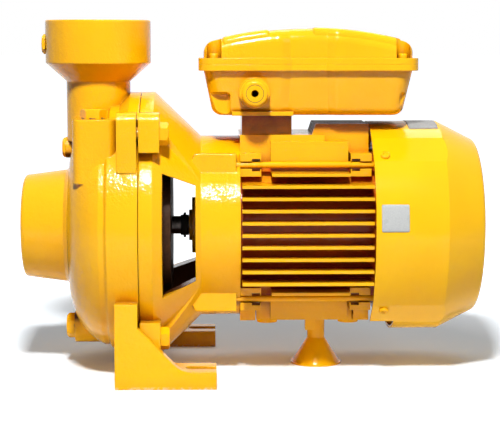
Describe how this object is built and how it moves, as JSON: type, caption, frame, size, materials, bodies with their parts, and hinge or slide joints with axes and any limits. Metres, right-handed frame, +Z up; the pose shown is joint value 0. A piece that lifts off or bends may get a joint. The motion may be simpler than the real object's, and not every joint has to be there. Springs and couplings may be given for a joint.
{
  "type": "centrifugal water pump",
  "caption": "Close-coupled centrifugal water pump with end suction, top discharge, open lantern bracket, finned motor with fan hood, terminal box and casing feet.",
  "frame": {"origin": "floor level, under the middle of the overall length and width", "axes": "+X along the shaft from the suction port to the fan cover, +Z up along the discharge port, -Y the side with the cable gland"},
  "size_m": [0.447, 0.247, 0.344],
  "materials": {
    "cast_paint": "gloss yellow enamel over cast iron, orange peel",
    "frame_paint": "gloss yellow enamel over die-cast aluminium",
    "sheet_paint": "smooth gloss yellow enamel on pressed sheet",
    "fastener_paint": "steel fasteners painted over with the pump",
    "cast_iron": "dark primed casting",
    "brass": "cast brass",
    "steel": "turned steel",
    "dark_steel": "oiled dark steel",
    "laminations": "stacked electrical sheet",
    "copper": "varnished copper wire",
    "aluminium": "as cast",
    "rubber": "matt black rubber",
    "ceramic": "ground ceramic ring",
    "fan_plastic": "black moulded plastic",
    "grey_plastic": "grey moulded case",
    "board": "dark moulded insulator"
  },
  "bodies": {
    "pump_body": {"pump_casing": "cast_paint", "wear_ring": "brass", "casing_gasket": "rubber", "seal_plate": "cast_iron", "seal_seat": "ceramic", "gauge_plugs": "fastener_paint", "lantern_bracket": "cast_paint", "casing_bolts": "fastener_paint", "front_outer_race": "steel", "rear_outer_race": "steel", "motor_frame": "frame_paint", "stator_core": "laminations", "stator_windings": "copper", "rear_end_shield": "frame_paint", "wave_washer": "steel", "tie_rods": "fastener_paint", "fan_cover": "sheet_paint", "cover_screws": "fastener_paint", "terminal_box_base": "sheet_paint", "lid_gasket": "rubber", "cable_gland": "fastener_paint", "gland_nut": "fastener_paint", "gland_seal": "rubber", "gland_locknut": "steel", "capacitor": "grey_plastic", "capacitor_clips": "steel", "terminal_board": "board", "board_studs": "brass", "support_stand": "cast_paint", "stand_screw": "steel"},
    "rotor": {"motor_shaft": "dark_steel", "rotor_core": "laminations", "rotor_end_rings": "aluminium", "impeller": "brass", "impeller_key": "steel", "impeller_nut": "steel", "seal_head": "rubber", "seal_spring": "steel", "slinger": "rubber", "front_inner_race": "steel", "rear_inner_race": "steel", "cooling_fan": "fan_plastic", "fan_circlip": "steel"},
    "front_balls": {"front_ball_cage": "steel"},
    "rear_balls": {"rear_ball_cage": "steel"},
    "filler_plug_body": {"filler_plug": "fastener_paint"},
    "drain_plug_body": {"drain_plug": "fastener_paint"},
    "lid": {"terminal_box_lid": "sheet_paint", "lid_screws": "fastener_paint"}
  },
  "joints": [
    {"name": "rotor_spin", "type": "hinge", "parent": "pump_body", "child": "rotor", "pos_m": [0, 0, 0.1405], "axis": [1, 0, 0], "continuous": true},
    {"name": "front_cage_spin", "type": "hinge", "parent": "pump_body", "child": "front_balls", "pos_m": [0, 0, 0.1405], "axis": [1, 0, 0], "continuous": true},
    {"name": "rear_cage_spin", "type": "hinge", "parent": "pump_body", "child": "rear_balls", "pos_m": [0, 0, 0.1405], "axis": [1, 0, 0], "continuous": true},
    {"name": "filler_plug_lift", "type": "slide", "parent": "pump_body", "child": "filler_plug_body", "axis": [0, 0, 1], "range_m": [0, 0.03]},
    {"name": "drain_plug_pull", "type": "slide", "parent": "pump_body", "child": "drain_plug_body", "axis": [-1, 0, 0], "range_m": [0, 0.03]},
    {"name": "lid_lift", "type": "slide", "parent": "pump_body", "child": "lid", "axis": [0, 0, 1], "range_m": [0, 0.05]}
  ],
  "couplings": [
    {"joint": "front_cage_spin", "follows": "rotor_spin", "ratio": 0.3983},
    {"joint": "rear_cage_spin", "follows": "rotor_spin", "ratio": 0.3831}
  ]
}
